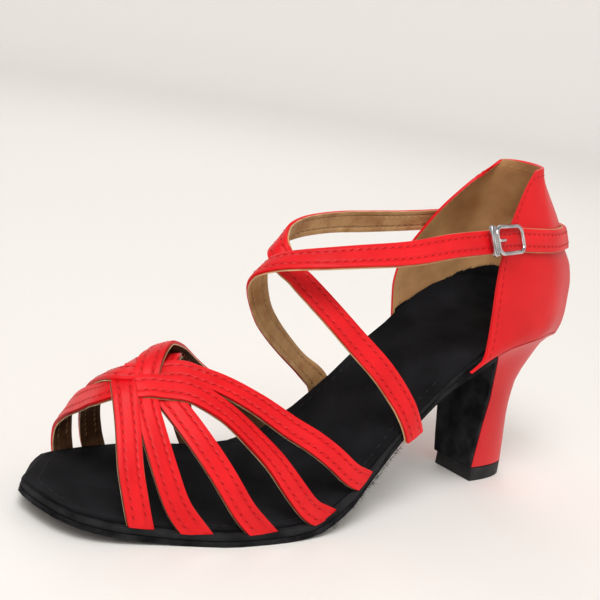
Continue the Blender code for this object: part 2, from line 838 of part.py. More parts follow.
def wall_run(side, first, last, heights, count, out_by):
    """Points that follow the heel cup's outer face between two heights."""
    run = []
    for k in range(count):
        part_way = k / (count - 1)
        share = first + (last - first) * part_way
        height = heights[0] + (heights[1] - heights[0]) * part_way
        point, rise = counter_at_height(side, share, height)
        out = counter_normal(side, max(share, 0.02), rise)
        if share < 0.03:
            out[1] = 0.0
            out /= np.linalg.norm(out)
        run.append((*(point + out * out_by), *out))
    return run


def ankle_run(rows):
    marks = []
    for row in rows:
        along, across, rise, turned, forward = row + (0.0,) * (5 - len(row))
        point = np.array([float(along_to_x(along)), across * BALL_HALF, rise * BAND_HEIGHT])
        out = from_core(point) + np.array([-forward, turned, 0.0])
        marks.append((*point, *(out / np.linalg.norm(out))))
    for k in (0, 1):
        marks[k] = (*marks[k][:3], 0.18, -0.98 if marks[k][1] < 0 else 0.98, 0.0)
    return marks


off_wall = 2 * GAP + STRAP_THICK / 2
near_marks = ankle_run(INSTEP_RUN)
near_marks += wall_run(1, 0.90, 0.0, (BAND_HEIGHT + 0.0016, BAND_HEIGHT + 0.0006), 9, off_wall)
near_marks += wall_run(2, 0.12, 0.30, (BAND_HEIGHT + 0.0004, BAND_HEIGHT), 2, off_wall)
far_marks = ankle_run(WAIST_RUN)
far_marks += wall_run(2, 0.90, 0.20, (BAND_HEIGHT - 0.0010, BAND_HEIGHT + 0.0002), 6, off_wall + 0.0006)
ankle_bodies = []
for strap, marks, steps in (("instep_strap", near_marks, 56), ("waist_strap", far_marks, 50)):
    run = link(marks, steps)
    outward = run[:, 3:] / np.linalg.norm(run[:, 3:], axis=1)[:, None]
    rings, heading = ribbon(run[:, :3], outward, ANKLE_WIDTH, STRAP_THICK)
    home = part if strap == "instep_strap" else helpers
    ankle_bodies.append(strap_body(strap, rings, RED_SATIN, home))
ankle = weld("ankle_straps", ankle_bodies, False)
band_path = link(near_marks, 56)

# Buckle, lying on the near band
buckle_index = int(np.argmin(np.abs(band_path[:, 0] + 0.0318) + 10 * (band_path[:, 1] > 0)))
seat = band_path[buckle_index, :3]
lengthwise = band_path[buckle_index + 1, :3] - band_path[buckle_index - 1, :3]
lengthwise /= np.linalg.norm(lengthwise)
out = band_path[buckle_index, 3:]
out = out - lengthwise * (out @ lengthwise)
out /= np.linalg.norm(out)
upward = np.cross(lengthwise, out)
upward *= np.sign(upward[2])
frame_middle = seat + out * (STRAP_THICK / 2 + 1.7 * GAP + BUCKLE_WIRE / 2)


def placed(a, b, c):
    return frame_middle + lengthwise * a + upward * b + out * c


corner = 0.0026
turns = np.linspace(0, math.pi / 2, 5)
loop = []
for sx, sy, start in ((1, 1, 0), (-1, 1, 1), (-1, -1, 2), (1, -1, 3)):
    cx = sx * (BUCKLE_LENGTH / 2 - corner - BUCKLE_WIRE / 2)
    cy = sy * (BUCKLE_WIDTH / 2 - corner - BUCKLE_WIRE / 2)
    for turn in turns:
        angle = turn + start * math.pi / 2
        loop.append((cx + corner * math.cos(angle), cy + corner * math.sin(angle), angle))
points = []
faces = []
round_count = 8
for cx, cy, angle in loop:
    for k in range(round_count):
        bend = 2 * math.pi * (k + 0.5) / round_count
        reach = BUCKLE_WIRE / 2 * math.cos(bend)
        points.append(placed(cx + reach * math.cos(angle), cy + reach * math.sin(angle), BUCKLE_WIRE / 2 * math.sin(bend)))
for i in range(len(loop)):
    for k in range(round_count):
        a = i * round_count + k
        b = i * round_count + (k + 1) % round_count
        c = ((i + 1) % len(loop)) * round_count + (k + 1) % round_count
        d = ((i + 1) % len(loop)) * round_count + k
        faces.append((a, b, c, d))
frame = solid("buckle_frame", points, faces, CHROME)


def box(name, low, high, look):
    corners = [placed(x, y, z) for x in (low[0], high[0]) for y in (low[1], high[1]) for z in (low[2], high[2])]
    sides = [(0, 1, 3, 2), (4, 6, 7, 5), (0, 4, 5, 1), (2, 3, 7, 6), (0, 2, 6, 4), (1, 5, 7, 3)]
    return solid(name, corners, sides, look)


# Hook plate that the strap end folds over, at the toe end of the frame
hook_start = -BUCKLE_LENGTH / 2 - GAP
hook = box(
    "buckle_hook",
    (hook_start - 0.0026, -BUCKLE_WIDTH / 2, -BUCKLE_WIRE / 2),
    (hook_start, BUCKLE_WIDTH / 2, BUCKLE_WIRE / 2 + 0.0002),
    CHROME,
)
soften(hook, 0.0006, 2, 40)

# Prong, resting on the strap inside the frame
prong_start = -BUCKLE_LENGTH / 2 + BUCKLE_WIRE + GAP
prong = box(
    "buckle_prong",
    (prong_start, -0.00055, -BUCKLE_WIRE / 2),
    (prong_start + 0.0040, 0.00055, BUCKLE_WIRE / 2 - 0.0004),
    CHROME,
)
soften(prong, 0.0004, 2, 40)
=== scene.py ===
"""The looks of a red satin ballroom dance sandal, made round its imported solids.

Metres, Z up. The toe points to -X and the outer side of the left foot, with the buckle, to -Y.
"""

import math

import bpy
import numpy as np
from mathutils import Matrix, Vector


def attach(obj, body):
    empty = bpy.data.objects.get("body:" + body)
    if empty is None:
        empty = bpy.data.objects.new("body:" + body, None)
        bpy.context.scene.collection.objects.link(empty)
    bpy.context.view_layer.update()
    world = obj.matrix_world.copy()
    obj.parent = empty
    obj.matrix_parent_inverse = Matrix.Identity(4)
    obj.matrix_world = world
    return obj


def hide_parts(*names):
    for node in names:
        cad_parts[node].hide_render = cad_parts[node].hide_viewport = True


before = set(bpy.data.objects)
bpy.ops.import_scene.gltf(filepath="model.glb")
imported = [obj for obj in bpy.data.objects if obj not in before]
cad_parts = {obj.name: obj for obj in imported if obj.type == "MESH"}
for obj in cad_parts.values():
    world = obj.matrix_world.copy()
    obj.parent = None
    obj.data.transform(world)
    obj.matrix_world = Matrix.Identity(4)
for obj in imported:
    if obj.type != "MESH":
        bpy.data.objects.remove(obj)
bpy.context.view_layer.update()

# Insole board
# A stiff board, moulded to the last. Thin black cloth is glued over it and folded round its edge, and all the
# straps are fixed to it.


def only(piece):
    """Leaves one piece selected and active."""
    bpy.ops.object.select_all(action="DESELECT")
    bpy.context.view_layer.objects.active = piece
    piece.select_set(True)


def welded(node, name, flat_above=40):
    """A solid's own shape as one welded, smoothly shaded mesh that stands for it."""
    piece = bpy.data.objects.new(name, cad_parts[node].data.copy())
    bpy.context.scene.collection.objects.link(piece)
    piece.data.name = name
    only(piece)
    bpy.ops.mesh.customdata_custom_splitnormals_clear()
    bpy.ops.object.mode_set(mode="EDIT")
    bpy.ops.mesh.select_all(action="SELECT")
    bpy.ops.mesh.remove_doubles(threshold=0.00001)
    bpy.ops.mesh.tris_convert_to_quads(face_threshold=math.radians(30), shape_threshold=math.radians(70))
    bpy.ops.object.mode_set(mode="OBJECT")
    piece.data.materials.clear()
    bpy.ops.object.shade_smooth_by_angle(angle=math.radians(flat_above))
    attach(piece, "root")
    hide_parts(node)
    return piece


def rounded(piece, width, segments=3, angle=40):
    """Rounds the piece's sharp edges."""
    only(piece)
    bevel = piece.modifiers.new("rounded_edges", "BEVEL")
    bevel.width = width
    bevel.segments = segments
    bevel.limit_method = "ANGLE"
    bevel.angle_limit = math.radians(angle)
    bpy.ops.object.modifier_apply(modifier=bevel.name)
    bpy.ops.object.shade_smooth_by_angle(angle=math.radians(60))


def finish(name, colour, roughness, metallic=0.0, sheen=0.0, sheen_colour=(1, 1, 1), shine=0.5):
    """A new material with one even colour."""
    look = bpy.data.materials.new(name)
    look.use_nodes = True
    shader = look.node_tree.nodes["Principled BSDF"]
    shader.inputs["Base Color"].default_value = (*colour, 1)
    shader.inputs["Roughness"].default_value = roughness
    shader.inputs["Metallic"].default_value = metallic
    shader.inputs["Sheen Weight"].default_value = sheen
    shader.inputs["Sheen Roughness"].default_value = 0.35
    shader.inputs["Sheen Tint"].default_value = (*sheen_colour, 1)
    shader.inputs["Specular IOR Level"].default_value = shine
    return look


def add(look, kind, sockets, **settings):
    """Adds a node to a finish, with its sockets set or joined."""
    node = look.node_tree.nodes.new("ShaderNode" + kind)
    for setting, value in settings.items():
        setattr(node, setting, value)
    for socket, value in sockets.items():
        if isinstance(value, bpy.types.NodeSocket):
            look.node_tree.links.new(value, node.inputs[socket])
        else:
            node.inputs[socket].default_value = value
    return node


def on_object(look):
    """The place on the piece, in metres, that a finish's patches and bumps follow."""
    return add(look, "TexCoord", {}).outputs["Object"]


def patches(look, where, scale, dark, light, low=0.35, high=0.65, detail=5.0):
    """Colours a finish in soft patches from dark to light."""
    noise = add(look, "TexNoise", {"Vector": where, "Scale": scale, "Detail": detail})
    ramp = add(look, "ValToRGB", {"Fac": noise.outputs["Fac"]})
    ramp.color_ramp.elements[0].position = low
    ramp.color_ramp.elements[1].position = high
    ramp.color_ramp.elements[0].color = (*dark, 1)
    ramp.color_ramp.elements[1].color = (*light, 1)
    shader = look.node_tree.nodes["Principled BSDF"]
    look.node_tree.links.new(ramp.outputs["Color"], shader.inputs["Base Color"])


def raised(look, heights):
    """Stacks bumps, given as height socket, depth in metres and strength, and joins them to the shader."""
    normal = None
    for height, depth, strength in heights:
        sockets = {"Height": height, "Distance": depth, "Strength": strength}
        if normal is not None:
            sockets["Normal"] = normal
        normal = add(look, "Bump", sockets).outputs["Normal"]
    look.node_tree.links.new(normal, look.node_tree.nodes["Principled BSDF"].inputs["Normal"])


def grain(look, where, scale, detail=8.0, roughness=0.6):
    """Uneven heights, as of cloth or leather."""
    sockets = {"Vector": where, "Scale": scale, "Detail": detail, "Roughness": roughness}
    return add(look, "TexNoise", sockets).outputs["Fac"]


WRAP_SHEEN = (0.50, 0.50, 0.55)
WRAP = finish("black_wrap", (0.012, 0.012, 0.013), 0.85, sheen=0.04, sheen_colour=WRAP_SHEEN, shine=0.12)
place = on_object(WRAP)
patches(WRAP, place, 120, (0.008, 0.008, 0.009), (0.022, 0.022, 0.024))
raised(WRAP, [(grain(WRAP, place, 900), 0.00025, 0.5), (grain(WRAP, place, 160, 3), 0.0004, 0.35)])
board = welded("insole_board", "insole_board_wrapped")
board.data.materials.append(WRAP)

# Sock
# A thin black suede sock, glued on the board. It curls up a little inside the heel cup, is sewn down near its
# edge with black thread, and has faint scuffs.
NAP_SHEEN = (0.40, 0.40, 0.45)
SUEDE = finish("black_suede", (0.010, 0.010, 0.011), 0.95, sheen=0.05, sheen_colour=NAP_SHEEN, shine=0.08)
place = on_object(SUEDE)
patches(SUEDE, place, 38, (0.005, 0.005, 0.006), (0.017, 0.017, 0.020), 0.38, 0.72, 9.0)
raised(SUEDE, [(grain(SUEDE, place, 1500, 6, 0.8), 0.0003, 0.6), (grain(SUEDE, place, 90, 4), 0.0006, 0.25)])
sock = welded("insole_sock", "insole_sock_suede")
sock.data.materials.append(SUEDE)

SOLE_LENGTH = 0.2202
SEAT_BACK = 0.0284
BALL_HALF = 0.0420
INFLARE = 0.0080
HEEL_HEIGHT = 0.0660
SOCK_THICK = 0.0009
SOLE_STACK = 0.0050
SEAM_INSET = 0.0052
SEAM_PITCH = 0.0030
SEAM_LIFT = 0.00002
SEAM_STITCH = 0.0019
SEAM_THREAD = 0.00034
# Insole outline: along as a share of the sole length, near and far as shares of half the ball width.
OUTLINE = (
    (0.00, 0.000, 0.000),
    (0.06, 0.330, 0.420),
    (0.15, 0.556, 0.636),
    (0.28, 0.648, 0.621),
    (0.42, 0.700, 0.530),
    (0.55, 0.850, 0.650),
    (0.61, 0.900, 0.870),
    (0.67, 0.915, 0.985),
    (0.75, 0.895, 1.050),
    (0.81, 0.810, 1.030),
    (0.86, 0.735, 0.945),
    (0.90, 0.690, 0.840),
    (0.94, 0.628, 0.585),
    (0.975, 0.500, 0.290),
    (1.00, 0.000, 0.000),
)
# Side profile of the last: along, and the height of the insole's top as a share of the heel height.
PROFILE = (
    (0.00, 0.941),
    (0.10, 1.000),
    (0.20, 0.970),
    (0.32, 0.814),
    (0.44, 0.503),
    (0.50, 0.324),
    (0.56, 0.172),
    (0.62, 0.090),
    (0.67, 0.077),
    (0.80, 0.077),
    (0.90, 0.104),
    (1.00, 0.165),
)


def follow(rows, column, at, square=False):
    """A smooth run through one column of a table. It is level between two rows that match."""
    marks = np.array([row[0] for row in rows], float)
    values = np.array([row[column] ** 2 if square else row[column] for row in rows], float)
    steps = np.diff(marks)
    rises = np.diff(values) / steps
    slopes = np.zeros(len(marks))
    slopes[0] = rises[0]
    slopes[-1] = rises[-1]
    for i in range(1, len(marks) - 1):
        if rises[i - 1] * rises[i] > 0:
            before = 2 * steps[i] + steps[i - 1]
            after = steps[i] + 2 * steps[i - 1]
            slopes[i] = (before + after) / (before / rises[i - 1] + after / rises[i])
    at = np.clip(np.asarray(at, float), marks[0], marks[-1])
    span = np.clip(np.searchsorted(marks, at, side="right") - 1, 0, len(steps) - 1)
    u = (at - marks[span]) / steps[span]
    first = (2 * u**3 - 3 * u**2 + 1) * values[span] + (u**3 - 2 * u**2 + u) * steps[span] * slopes[span]
    second = (3 * u**2 - 2 * u**3) * values[span + 1] + (u**3 - u**2) * steps[span] * slopes[span + 1]
    return first + second


def half_width(side, along):
    """Half the insole's width on one side, near (1) or far (2)."""
    return BALL_HALF * np.sqrt(np.maximum(follow(OUTLINE, side, along, square=True), 0))


FLAT_SHARE = 0.077


def insole_top(x):
    """The height of the insole's top, which is one sole stack high where the forefoot is flat."""
    profile = follow(PROFILE, 1, (SEAT_BACK - x) / SOLE_LENGTH)
    return HEEL_HEIGHT * profile + SOLE_STACK - FLAT_SHARE * HEEL_HEIGHT


def edge(side, along):
    """A point of the insole outline in plan, near (1) or far (2)."""
    x = SEAT_BACK - SOLE_LENGTH * np.asarray(along, float)
    y = half_width(side, along) * (-1 if side == 1 else 1) + INFLARE * np.asarray(along, float) ** 3
    return np.stack([x, y], -1)


def rim_line(inset, first, last, count):
    """A line in plan along the near edge, round the toe and back along the far edge, inside the outline."""
    near_marks = last - (last - first) * np.cos(np.linspace(0, math.pi / 2, count)) ** 1.3
    loop = np.concatenate([edge(1, near_marks), edge(2, near_marks[::-1][1:])])
    run = np.gradient(loop, axis=0)
    out = np.stack([run[:, 1], -run[:, 0]], -1)
    out /= np.linalg.norm(out, axis=1)[:, None]
    if (out[0] @ np.array([0, -1])) < 0:
        out = -out
    return loop - out * inset


def evenly(points, step):
    """The points of a line at even steps."""
    points = np.asarray(points, float)
    lengths = np.concatenate([[0], np.cumsum(np.linalg.norm(np.diff(points[:, :3], axis=0), axis=1))])
    at = np.arange(step / 2, lengths[-1], step)
    return np.stack([np.interp(at, lengths, points[:, k]) for k in range(points.shape[1])], -1)


def stitches(name, points, headings, facings, length, thick, look, slant=0.0):
    """One row of thread: a stitch is modelled once, and copied to each place."""
    bpy.ops.object.select_all(action="DESELECT")
    bpy.ops.mesh.primitive_uv_sphere_add(segments=6, ring_count=5, radius=0.5)
    stitch = bpy.context.active_object
    shape = np.array([v.co for v in stitch.data.vertices])[:, [2, 0, 1]] * (length, thick, thick * 0.8)
    shape[:, 0] = np.sign(shape[:, 0]) * np.abs(shape[:, 0] / (length / 2)) ** 0.6 * length / 2
    faces = [tuple(p.vertices) for p in stitch.data.polygons]
    places = []
    corners = []
    for i in range(len(points)):
        along = headings[i] / np.linalg.norm(headings[i])
        out = facings[i] - along * (facings[i] @ along)
        out /= np.linalg.norm(out)
        wide = np.cross(out, along)
        along = along * math.cos(slant) + wide * math.sin(slant)
        wide = np.cross(out, along)
        places.append(points[i] + shape @ np.array([along, wide, out]))
        corners += [tuple(v + i * len(shape) for v in face) for face in faces]
    mesh = bpy.data.meshes.new(name)
    mesh.from_pydata(np.concatenate(places).tolist(), [], corners)
    bpy.data.objects.remove(stitch)
    row = bpy.data.objects.new(name, mesh)
    bpy.context.scene.collection.objects.link(row)
    only(row)
    bpy.ops.object.shade_smooth()
    row.data.materials.append(look)
    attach(row, "root")


def thread(name, colour):
    """A twisted sewing thread."""
    look = finish(name, colour, 0.6, shine=0.2)
    place = on_object(look)
    sockets = {"Vector": place, "Scale": 900.0, "Distortion": 2.0}
    twist = add(look, "TexWave", sockets, bands_direction="DIAGONAL")
    raised(look, [(twist.outputs["Fac"], 0.0001, 0.6)])
    return look


BLACK_THREAD = thread("black_thread", (0.02, 0.02, 0.022))
line = rim_line(SEAM_INSET, 0.36, 1.0, 90)
seam = np.array([(x, y, float(insole_top(x)) + SEAM_LIFT) for x, y in evenly(line, SEAM_PITCH)])
run = np.gradient(seam, axis=0)
facings = [np.array([0.0, 0, 1])] * len(seam)
stitches("sock_stitches", seam, run, facings, SEAM_STITCH, SEAM_THREAD, BLACK_THREAD)

# Toe straps
# Five satin straps, each folded round a tape and sewn twice along, with a thin lining glued under it, darkened
# as painted shade.
# They are woven through each other over the toes, and their ends are tucked in between the board and the sock.
STRAP_WIDTH = 0.0080
STRAP_THICK = 0.0016
LINING_THICK = 0.0004
LINING_SHOW = 0.00022
STRAP_CROWN = 0.16
STRAP_STEP = 0.0012
END_STEPS = 12
END_MOVE = 0.004
STITCH_PITCH = 0.0029
STITCH_INSET = 0.0021
STITCH_START = 0.003
TOP_STITCH = 0.0015
LONG_STITCH = 0.0018
THREAD_THICK = 0.00036
SLANT = math.radians(16)
VAMP_HEIGHT = 0.0480
# Foot over the straps: along, its height as a share of the vamp height, and its ridge as a share of half the
# ball width.
LAST = (
    (0.40, 1.375, 0.05),
    (0.52, 1.210, 0.09),
    (0.60, 1.090, 0.12),
    (0.70, 1.016, 0.17),
    (0.78, 1.024, 0.17),
    (0.84, 0.915, 0.13),
    (0.885, 0.812, 0.10),
    (0.94, 0.625, 0.10),
    (1.00, 0.417, 0.10),
)
LAST_POWER = 1.333
# The straps' runs. Columns: along, around from the near edge (0) to the far edge (1), lift in strap thicknesses,
# and in some rows how far the face is turned towards the toe.
WEAVE = {
    "front_strap": (
        (0.886, 0.000, 0.0),
        (0.893, 0.090, 0.0),
        (0.897, 0.180, 0.0),
        (0.891, 0.300, 0.1),
        (0.884, 0.395, 0.55),
        (0.876, 0.465, -0.45),
        (0.856, 0.540, -0.50),
        (0.805, 0.690, 0.0),
        (0.760, 0.840, 0.0),
        (0.730, 0.950, 0.0),
        (0.722, 1.000, 0.0),
    ),
    "apex_strap": (
        (0.812, 0.000, 0.0),
        (0.835, 0.080, 0.0),
        (0.848, 0.155, 0.0),
        (0.857, 0.240, 0.0),
        (0.859, 0.320, -0.25),
        (0.853, 0.378, -0.50),
        (0.838, 0.445, 0.60),
        (0.800, 0.545, 0.55),
        (0.755, 0.620, 0.2),
        (0.710, 0.690, 0.0),
        (0.655, 0.765, 0.0),
        (0.600, 0.842, 0.0),
        (0.550, 0.945, 0.0),
        (0.534, 1.000, 0.0),
    ),
    "middle_strap": (
        (0.714, 0.000, 0.0),
        (0.745, 0.080, 0.0),
        (0.769, 0.147, 0.0),
        (0.797, 0.222, 0.0),
        (0.819, 0.300, -0.6),
        (0.826, 0.352, -1.50),
        (0.820, 0.420, -2.50),
        (0.800, 0.515, -2.50),
        (0.745, 0.665, -1.2),
        (0.680, 0.825, -0.2),
        (0.640, 0.950, 0.0),
        (0.630, 1.000, 0.0),
    ),
    "lower_cross_strap": (
        (0.602, 0.000, 0.0),
        (0.627, 0.050, 0.0),
        (0.652, 0.105, 0.0),
        (0.680, 0.168, 0.0, -0.10),
        (0.707, 0.214, 0.0, -0.14),
        (0.742, 0.268, 0.0, -0.14),
        (0.780, 0.310, 0.05, -0.06),
        (0.815, 0.343, 0.25),
        (0.852, 0.379, 0.50),
        (0.882, 0.412, -0.45),
        (0.906, 0.528, -1.60, 0.30),
        (0.907, 0.645, -1.90, 0.55),
        (0.900, 0.728, -1.30, 0.60),
        (0.885, 0.807, 0.10, 0.45),
        (0.873, 0.873, 1.20, 0.20),
        (0.867, 0.930, 0.80, 0.05),
        (0.863, 1.000, 0.0),
    ),
    "upper_cross_strap": (
        (0.523, 0.000, 0.0),
        (0.559, 0.092, 0.0),
        (0.604, 0.180, 0.0),
        (0.640, 0.226, 0.0),
        (0.684, 0.284, 0.0),
        (0.730, 0.332, -0.20),
        (0.779, 0.372, -0.60),
        (0.820, 0.412, -1.00),
        (0.850, 0.450, -0.40),
        (0.875, 0.490, 0.50),
        (0.878, 0.590, 0.15),
        (0.861, 0.720, 0.0),
        (0.834, 0.840, 0.0),
        (0.809, 0.945, 0.0),
        (0.800, 1.000, 0.0),
    ),
}
STRAP_INSET = 0.0012
FOOT_DEPTH = 0.0004
FOOT_REACH = 0.10
NUDGE = 0.004


def last_point(along, around):
    """A point over the foot: along the sole, and around from the near edge (0) to the far edge (1)."""
    turn = math.pi * around
    near, far = edge(1, along), edge(2, along)
    ridge = BALL_HALF * follow(LAST, 2, along)
    side = near[1] + STRAP_INSET if around < 0.5 else far[1] - STRAP_INSET
    y = ridge + (side - ridge) * abs(math.cos(turn)) ** LAST_POWER
    height = VAMP_HEIGHT * follow(LAST, 1, along) * abs(math.sin(turn)) ** LAST_POWER
    return np.array([near[0], y, insole_top(near[0]) + height])


def last_normal(along, around):
    """The way out of the foot at that point."""
    over = last_point(along, min(around + NUDGE, 1.0)) - last_point(along, max(around - NUDGE, 0.0))
    ahead = last_point(along + NUDGE, around) - last_point(along - NUDGE, around)
    out = np.cross(over, ahead)
    out /= np.linalg.norm(out)
    probe = last_point(along, around) - np.array([SEAT_BACK - SOLE_LENGTH * along, 0.0, 0.012])
    return out if out @ probe > 0 else -out


def link(points, count):
    """A smooth line through the points, split into equal steps."""
    points = np.asarray(points, float)
    gaps = np.linalg.norm(np.diff(points[:, :3], axis=0), axis=1)
    marks = np.concatenate([[0], np.cumsum(np.sqrt(gaps))])
    slopes = np.gradient(points, marks, axis=0)
    fine = []
    for i in range(len(points) - 1):
        u = np.linspace(0, 1, 24, endpoint=False)[:, None]
        step = marks[i + 1] - marks[i]
        start = (2 * u**3 - 3 * u**2 + 1) * points[i] + (u**3 - 2 * u**2 + u) * step * slopes[i]
        fine.append(start + (3 * u**2 - 2 * u**3) * points[i + 1] + (u**3 - u**2) * step * slopes[i + 1])
    fine = np.concatenate(fine + [points[-1:]])
    lengths = np.concatenate([[0], np.cumsum(np.linalg.norm(np.diff(fine[:, :3], axis=0), axis=1))])
    even = np.linspace(0, lengths[-1], count)
    return np.stack([np.interp(even, lengths, fine[:, k]) for k in range(fine.shape[1])], -1)


def sewn_relief(look):
    """Sinks both sewn rows of a strap a little, with a pucker at each stitch. UV is in metres."""
    flat = add(look, "UVMap", {}).outputs["UV"]
    axes = add(look, "SeparateXYZ", {"Vector": flat})
    width = add(look, "Attribute", {}, attribute_name="half_width").outputs["Fac"]
    across = add(look, "Math", {0: axes.outputs["Y"]}, operation="ABSOLUTE").outputs[0]
    row = add(look, "Math", {0: width, 1: STITCH_INSET}, operation="SUBTRACT").outputs[0]
    off = add(look, "Math", {0: across, 1: row}, operation="SUBTRACT").outputs[0]
    away = add(look, "Math", {0: off}, operation="ABSOLUTE").outputs[0]
    sockets = {"Value": away, "From Min": 0.0, "From Max": 0.0008, "To Min": 0.0, "To Max": 1.0}
    groove = add(look, "MapRange", sockets, interpolation_type="SMOOTHSTEP").outputs[0]
    pitch = 2 * math.pi / STITCH_PITCH
    turns = add(look, "Math", {0: axes.outputs["X"], 1: pitch}, operation="MULTIPLY").outputs[0]
    wave = add(look, "Math", {0: turns}, operation="COSINE").outputs[0]
    near = add(look, "Math", {0: 1.0, 1: groove}, operation="SUBTRACT").outputs[0]
    pucker = add(look, "Math", {0: wave, 1: near}, operation="MULTIPLY").outputs[0]
    half = add(look, "Math", {0: pucker, 1: 0.35}, operation="MULTIPLY").outputs[0]
    return flat, add(look, "Math", {0: groove, 1: half}, operation="ADD").outputs[0]


# A wave texture's scale for threads one metre apart.
WAVE_SCALE = 0.314


def twill(look, where, pitch):
    """Fine diagonal threads of a satin weave."""
    turned = add(look, "Mapping", {"Vector": where, "Rotation": (0, 0, math.radians(52))}).outputs["Vector"]
    scale = WAVE_SCALE / pitch
    sockets = {"Vector": turned, "Scale": scale, "Distortion": 0.6, "Detail": 2.0, "Detail Scale": 2.0}
    return add(look, "TexWave", sockets, bands_direction="X").outputs["Fac"]


RED = (0.72, 0.006, 0.010)
SATIN = finish("red_satin", RED, 0.40, shine=0.25)
place = on_object(SATIN)
patches(SATIN, place, 70, (0.66, 0.004, 0.008), (0.78, 0.008, 0.013))
flat, seams = sewn_relief(SATIN)
raised(
    SATIN,
    [
        (seams, 0.00035, 0.8),
        (grain(SATIN, place, 260, 3), 0.0003, 0.25),
        (twill(SATIN, flat, 0.00045), 0.00008, 0.45),
    ],
)
LINING = finish("tan_lining", (0.56, 0.30, 0.12), 0.55, shine=0.35)
# The toe straps' lining: the tan lining's colour darkened, as painted shade under the straps.
SHADED_TOE_LINING = finish("toe_lining_painted_shade", (0.10, 0.045, 0.020), 0.6, shine=0.3)
for look, dark, light in (
    (LINING, (0.44, 0.21, 0.080), (0.68, 0.41, 0.19)),
    # The toe straps' lining tones, darkened as painted shade.
    (SHADED_TOE_LINING, (0.060, 0.024, 0.010), (0.17, 0.080, 0.036)),
):
    place = on_object(look)
    patches(look, place, 110, dark, light)
    _, seams = sewn_relief(look)
    raised(look, [(seams, 0.0005, 0.8), (grain(look, place, 420, 5), 0.0005, 0.5)])
CUT_EDGE = finish("cream_cut_edge", (0.62, 0.42, 0.24), 0.8, shine=0.2)
place = on_object(CUT_EDGE)
patches(CUT_EDGE, place, 260, (0.46, 0.27, 0.13), (0.74, 0.54, 0.34))
raised(CUT_EDGE, [(grain(CUT_EDGE, place, 1400, 4), 0.0002, 0.5)])
# Red thread darker than the satin: the darkness is painted shade of the needle holes and the sewn groove.
SHADED_RED_THREAD = thread("red_thread_painted_shade", (0.34, 0.002, 0.005))
TAN_THREAD = thread("tan_thread", (0.55, 0.33, 0.15))


def ribbon(name, line, wide, out, width, thick, top, crown, ends, looks):
    """A flat band along a line: the height of its top over the line, its crown, and the cut of its ends."""
    steps = len(line) - 1
    bpy.ops.object.select_all(action="DESELECT")
    bpy.ops.mesh.primitive_grid_add(x_subdivisions=steps, y_subdivisions=10, size=1)
    piece = bpy.context.active_object
    piece.name = name
    piece.data.name = name
    corner = np.array([v.co for v in piece.data.vertices])
    at = np.clip(np.rint((corner[:, 0] + 0.5) * steps).astype(int), 0, steps)
    across = corner[:, 1] * 2
    height = top - crown * across**2
    bent = line[at] + wide[at] * (across * width / 2)[:, None] + out[at] * height[:, None]
    if ends is not None:
        heading = np.gradient(line, axis=0)
        heading /= np.linalg.norm(heading, axis=1)[:, None]
        for end in (0, steps):
            close = np.abs(at - end) < END_STEPS
            for _ in range(4):
                low = ends(bent[:, 0]) - bent[:, 2]
                slope = (ends(bent[:, 0] + 1e-4) - ends(bent[:, 0] - 1e-4)) / 2e-4
                move = np.clip(low / (heading[end][2] - slope * heading[end][0]), -END_MOVE, END_MOVE)
                needs = close & ((low > 0) | (at == end))
                bent[needs] += heading[end] * move[needs, None]
    piece.data.vertices.foreach_set("co", bent.ravel())
    length = np.linalg.norm(np.diff(line, axis=0), axis=1).sum()
    for loop in piece.data.loops:
        place = (at[loop.vertex_index] / steps * length, across[loop.vertex_index] * width / 2)
        piece.data.uv_layers[0].data[loop.index].uv = place
    for look in looks:
        piece.data.materials.append(look)
    wall = piece.modifiers.new("wall", "SOLIDIFY")
    wall.thickness = thick
    wall.offset = -1
    wall.material_offset_rim = len(looks) - 1
    bpy.ops.object.modifier_apply(modifier=wall.name)
    rounded(piece, thick * 0.34, angle=55)
    piece.data.attributes.new("half_width", "FLOAT", "POINT")
    halves = np.full(len(piece.data.vertices), width / 2, np.float32)
    piece.data.attributes["half_width"].data.foreach_set("value", halves)
    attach(piece, "root")
    return piece


def strap(name, run, width, thick, lining, ends=None):
    """A satin strap with its lining and its sewn rows, bent along a run of points and facings."""
    steps = int(np.linalg.norm(np.diff(run[:, :3], axis=0), axis=1).sum() / STRAP_STEP)
    run = link(run, steps + 1)
    line = run[:, :3]
    heading = np.gradient(line, axis=0)
    heading /= np.linalg.norm(heading, axis=1)[:, None]
    out = run[:, 3:6] - heading * (run[:, 3:6] * heading).sum(1)[:, None]
    out /= np.linalg.norm(out, axis=1)[:, None]
    wide = np.cross(out, heading)
    length = np.linalg.norm(np.diff(line, axis=0), axis=1).sum()
    crown = STRAP_CROWN * thick
    satin = thick - LINING_THICK
    piece = ribbon(name, line, wide, out, width, satin, thick / 2, crown, ends, [SATIN])
    lined = width + 2 * LINING_SHOW
    edged = [lining, CUT_EDGE]
    ribbon(name + "_lining", line, wide, out, lined, LINING_THICK, thick / 2 - satin, crown, ends, edged)
    marks = STITCH_START + STITCH_PITCH * np.arange(int((length - 2 * STITCH_START) / STITCH_PITCH))
    spots = marks / length * steps
    column = np.arange(steps + 1)

    def between(values):
        return np.stack([np.interp(spots, column, values[:, k]) for k in range(3)], -1)

    share = 1 - STITCH_INSET / (width / 2)
    middle = between(line) + between(out) * (thick / 2 - crown * share**2)
    offset = between(wide) * share * width / 2
    rows = np.concatenate([middle - offset, middle + offset])
    headings = np.concatenate([between(heading)] * 2)
    facings = np.concatenate([between(out)] * 2)
    stitches(name + "_stitches", rows, headings, facings, TOP_STITCH, THREAD_THICK, SHADED_RED_THREAD, SLANT)
    below = rows - facings * thick
    under = name + "_under_stitches"
    stitches(under, below, headings, facings, LONG_STITCH, THREAD_THICK, TAN_THREAD, SLANT)
    return piece


def strap_foot(x):
    """The height where a toe strap's end stops, a little under the sock."""
    return insole_top(x) - SOCK_THICK - FOOT_DEPTH


